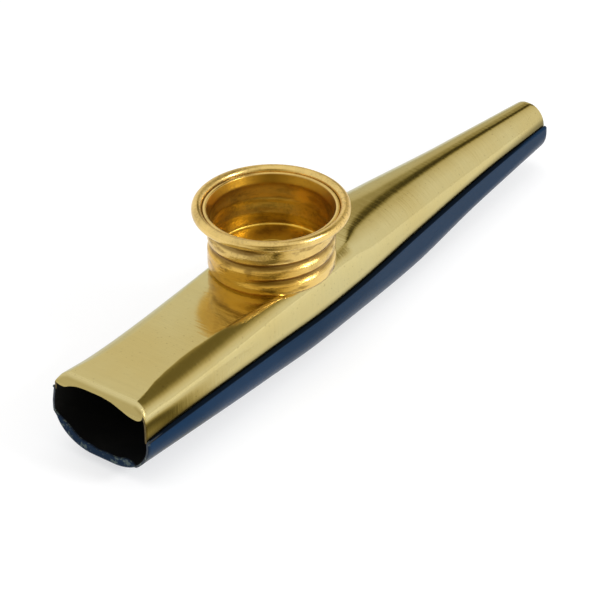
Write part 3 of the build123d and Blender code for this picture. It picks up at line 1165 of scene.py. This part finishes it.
class KAZOO_OT_washers(Operator):
    """Builds the two fibre washers that clamp the membrane"""
    bl_idname = "kazoo.washers"
    bl_label = "Fibre washers"

    def execute(self, context):
        turret = context.scene.kazoo_turret
        finish = vulcanised_fibre(turret)
        for node, body in (("seat_washer", "body"), ("pressure_washer", "pressure_washer")):
            low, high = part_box(node)
            bottom = low.z / MM - seat_z
            top = high.z / MM - seat_z - TURNING_GAP
            outer = (high.x - low.x) / 2 / MM
            inner = outer - WASHER_WIDTH
            corners = [(inner, bottom, 0.08), (outer, bottom, 0.08),
                       (outer, top, 0.08), (inner, top, 0.08)]
            outline = rounded_outline(corners, arc_step=30)
            piece = spun_piece("fibre_" + node, outline, SEGMENTS // 2, finish)
            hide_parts(node)
            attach(piece, body)
        return {"FINISHED"}


class KAZOO_OT_membrane(Operator):
    """Builds the waxed membrane, slightly crinkled inside the washers"""
    bl_idname = "kazoo.membrane"
    bl_label = "Membrane"

    def execute(self, context):
        turret = context.scene.kazoo_turret
        low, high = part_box("membrane")
        outer = (high.x - low.x) / 2
        rings, segments = 48, 144
        clamped, crinkle_height = 0.70, 0.03 * MM
        points = [(turret_x * MM, 0.0, high.z)]
        for i in range(1, rings + 1):
            radius = outer * i / rings
            slack = max(0.0, 1 - (radius / (outer * clamped)) ** 2)
            for k in range(segments):
                angle = 2 * math.pi * k / segments
                crinkle = math.sin(5 * angle + 9000 * radius) * math.cos(3 * angle - 4000 * radius)
                points.append((turret_x * MM + radius * math.cos(angle), radius * math.sin(angle),
                               high.z + crinkle_height * slack * crinkle))
        faces = [(0, 1 + k, 1 + (k + 1) % segments) for k in range(segments)]
        faces += grid_faces(rings, segments, ringed=True, first=1)
        piece = new_piece("waxed_membrane", new_mesh("waxed_membrane", points, faces),
                          waxed_film(turret))
        solid = piece.modifiers.new("Film", "SOLIDIFY")
        solid.thickness = high.z - low.z
        solid.offset = -1.0
        settle(piece)
        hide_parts("membrane")
        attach(piece, "body")
        return {"FINISHED"}


class KAZOO_OT_stage(Operator):
    """Sets the floor, the light, the reflected screens and the camera"""
    bl_idname = "kazoo.stage"
    bl_label = "Stage"

    def execute(self, context):
        stage = context.scene.kazoo_stage
        scene = context.scene
        scene.view_settings.view_transform = "Standard"
        self.lay_floor(stage)
        self.light_world(scene, stage)
        self.hang_softbox(scene, "overhead", OVERHEAD_PLACE, OVERHEAD_SIZE, stage.overhead, False)
        self.hang_softbox(scene, "side", SIDE_PLACE, SIDE_SIZE, stage.side, True)
        self.hang_screen("far_screen", range(-66, 67, 2), range(0, 81, 2), on_dome, far_shade)
        self.hang_screen("camera_screen", range(137, 298, 2), range(0, 67, 2), on_dome,
                         camera_shade)
        self.hang_screen("floor_card", range(170, 267, 2), range(22, 453, 10), over_floor,
                         floor_shade)
        self.aim_camera(scene, stage)
        return {"FINISHED"}

    def lay_floor(self, stage):
        """Wide white floor under the object."""
        corners = [(FLOOR_REACH * x, FLOOR_REACH * y, 0)
                   for x, y in ((-1, -1), (1, -1), (1, 1), (-1, 1))]
        finish = Finish("white_floor", {"Roughness": 0.9, "Specular IOR Level": 0.0,
                                        "Emission Color": (*WHITE, 1.0),
                                        "Emission Strength": 0.6})
        mottle = finish.noise(finish.point, 6.0, 2.0, 0.5)
        finish.feed("Base Color", finish.blend(mottle, stage.floor, darker(stage.floor, 0.99)))
        floor = new_piece("floor", new_mesh("floor", corners, [(0, 1, 2, 3)]), finish.material)

    def light_world(self, scene, stage):
        """Even light, which reflections and the camera see as full white."""
        scene.world = bpy.data.worlds.new("studio")
        scene.world.use_nodes = True
        board = NodeBoard(scene.world.node_tree)
        seen = board.node("ShaderNodeLightPath", output="Is Camera Ray")
        seen = seen + seen.output("Is Glossy Ray") + seen.output("Is Transmission Ray")
        seen = seen.maths("MINIMUM", seen, 1.0)
        background = board.tree.nodes["Background"]
        background.inputs["Color"].default_value = (*WHITE, 1.0)
        strength = stage.ambient + seen * (1.0 - stage.ambient)
        board.tree.links.new(strength.socket, background.inputs["Strength"])

    def hang_softbox(self, scene, name, place, size, power, shows):
        """Soft light that faces the turret, and may show as a reflection."""
        light = bpy.data.lights.new(name, "AREA")
        light.shape = "RECTANGLE"
        light.size, light.size_y = size
        light.energy = power
        lamp = bpy.data.objects.new(name, light)
        lamp.location = place
        aim = Vector((turret_x * MM, 0.0, seat_z * MM)) - lamp.location
        lamp.rotation_euler = aim.to_track_quat("-Z", "Y").to_euler()
        lamp.visible_glossy = shows
        scene.collection.objects.link(lamp)

    def hang_screen(self, name, azimuths, steps, place, shade):
        """Screen, white to dark, that only shows as a reflection."""
        points = [place(azimuth, step) for azimuth in azimuths for step in steps]
        shades = [shade(azimuth, step) for azimuth in azimuths for step in steps]
        mesh = new_mesh(name, points, grid_faces(len(azimuths), len(steps)))
        mesh.attributes.new("shade", "FLOAT", "POINT").data.foreach_set("value", shades)
        finish = Finish(name, {"Roughness": 1.0, "Specular IOR Level": 0.0,
                               "Emission Strength": 1.0, "Base Color": (*BLACK, 1.0)})
        shaded = finish.node("ShaderNodeAttribute", {"attribute_name": "shade"}, output="Fac")
        tone = finish.blend(shaded, WHITE, SCREEN_TONE)
        finish.feed("Emission Color", finish.blend(shaded, tone, BLACK))
        screen = new_piece(name, mesh, finish.material)
        screen.visible_camera = False
        screen.visible_diffuse = False
        screen.visible_shadow = False

    def aim_camera(self, scene, stage):
        """Camera of the photograph, aimed near the turret's foot."""
        turn, rise = stage.azimuth, stage.elevation
        right = Vector((math.cos(turn), -math.sin(turn), 0.0))
        level = Vector((math.sin(turn), math.cos(turn), 0.0))
        ahead = level * math.cos(rise) - Vector((0, 0, 1)) * math.sin(rise)
        up = level * math.sin(rise) + Vector((0, 0, 1)) * math.cos(rise)
        across = right * math.cos(stage.roll) + up * math.sin(stage.roll)
        upright = up * math.cos(stage.roll) - right * math.sin(stage.roll)
        foot = Vector((turret_x, 0.0, seam_z)) * MM
        aim = foot + across * stage.aim_right - upright * stage.aim_down
        camera = bpy.data.objects.new("camera", bpy.data.cameras.new("camera"))
        camera.data.sensor_width = 36.0
        camera.data.lens = stage.lens
        camera.data.clip_start = 0.01
        pose = Matrix((across, upright, -ahead)).transposed().to_4x4()
        pose.translation = aim - ahead * stage.distance
        camera.matrix_world = pose
        scene.collection.objects.link(camera)
        scene.camera = camera


class KAZOO_PT_panel(Panel):
    """Lists the pieces of the kazoo and its stage"""
    bl_idname = "KAZOO_PT_panel"
    bl_label = "Kazoo"
    bl_space_type = "VIEW_3D"
    bl_region_type = "UI"
    bl_category = "Kazoo"

    def draw(self, context):
        for piece in PIECES:
            self.layout.operator(piece.bl_idname)
        for group_name, kind in GROUPS.items():
            column = self.layout.column()
            for name in kind.__annotations__:
                column.prop(getattr(context.scene, group_name), name)


PIECES = (
    KAZOO_OT_lower_shell,
    KAZOO_OT_upper_shell,
    KAZOO_OT_turret,
    KAZOO_OT_screw_cap,
    KAZOO_OT_washers,
    KAZOO_OT_membrane,
    KAZOO_OT_stage,
)
GROUPS = {"kazoo_body": KazooBody, "kazoo_turret": KazooTurret, "kazoo_stage": KazooStage}


def register():
    for group in GROUPS.values():
        bpy.utils.register_class(group)
    for name, group in GROUPS.items():
        setattr(bpy.types.Scene, name, PointerProperty(type=group))
    for piece in PIECES:
        bpy.utils.register_class(piece)
    bpy.utils.register_class(KAZOO_PT_panel)


def unregister():
    bpy.utils.unregister_class(KAZOO_PT_panel)
    for piece in reversed(PIECES):
        bpy.utils.unregister_class(piece)
    for name in GROUPS:
        delattr(bpy.types.Scene, name)
    for group in GROUPS.values():
        bpy.utils.unregister_class(group)


def main():
    register()
    bpy.ops.kazoo.lower_shell()
    bpy.ops.kazoo.upper_shell()
    bpy.ops.kazoo.turret()
    bpy.ops.kazoo.screw_cap()
    bpy.ops.kazoo.washers()
    bpy.ops.kazoo.membrane()
    bpy.ops.kazoo.stage()


if __name__ == "__main__":
    main()
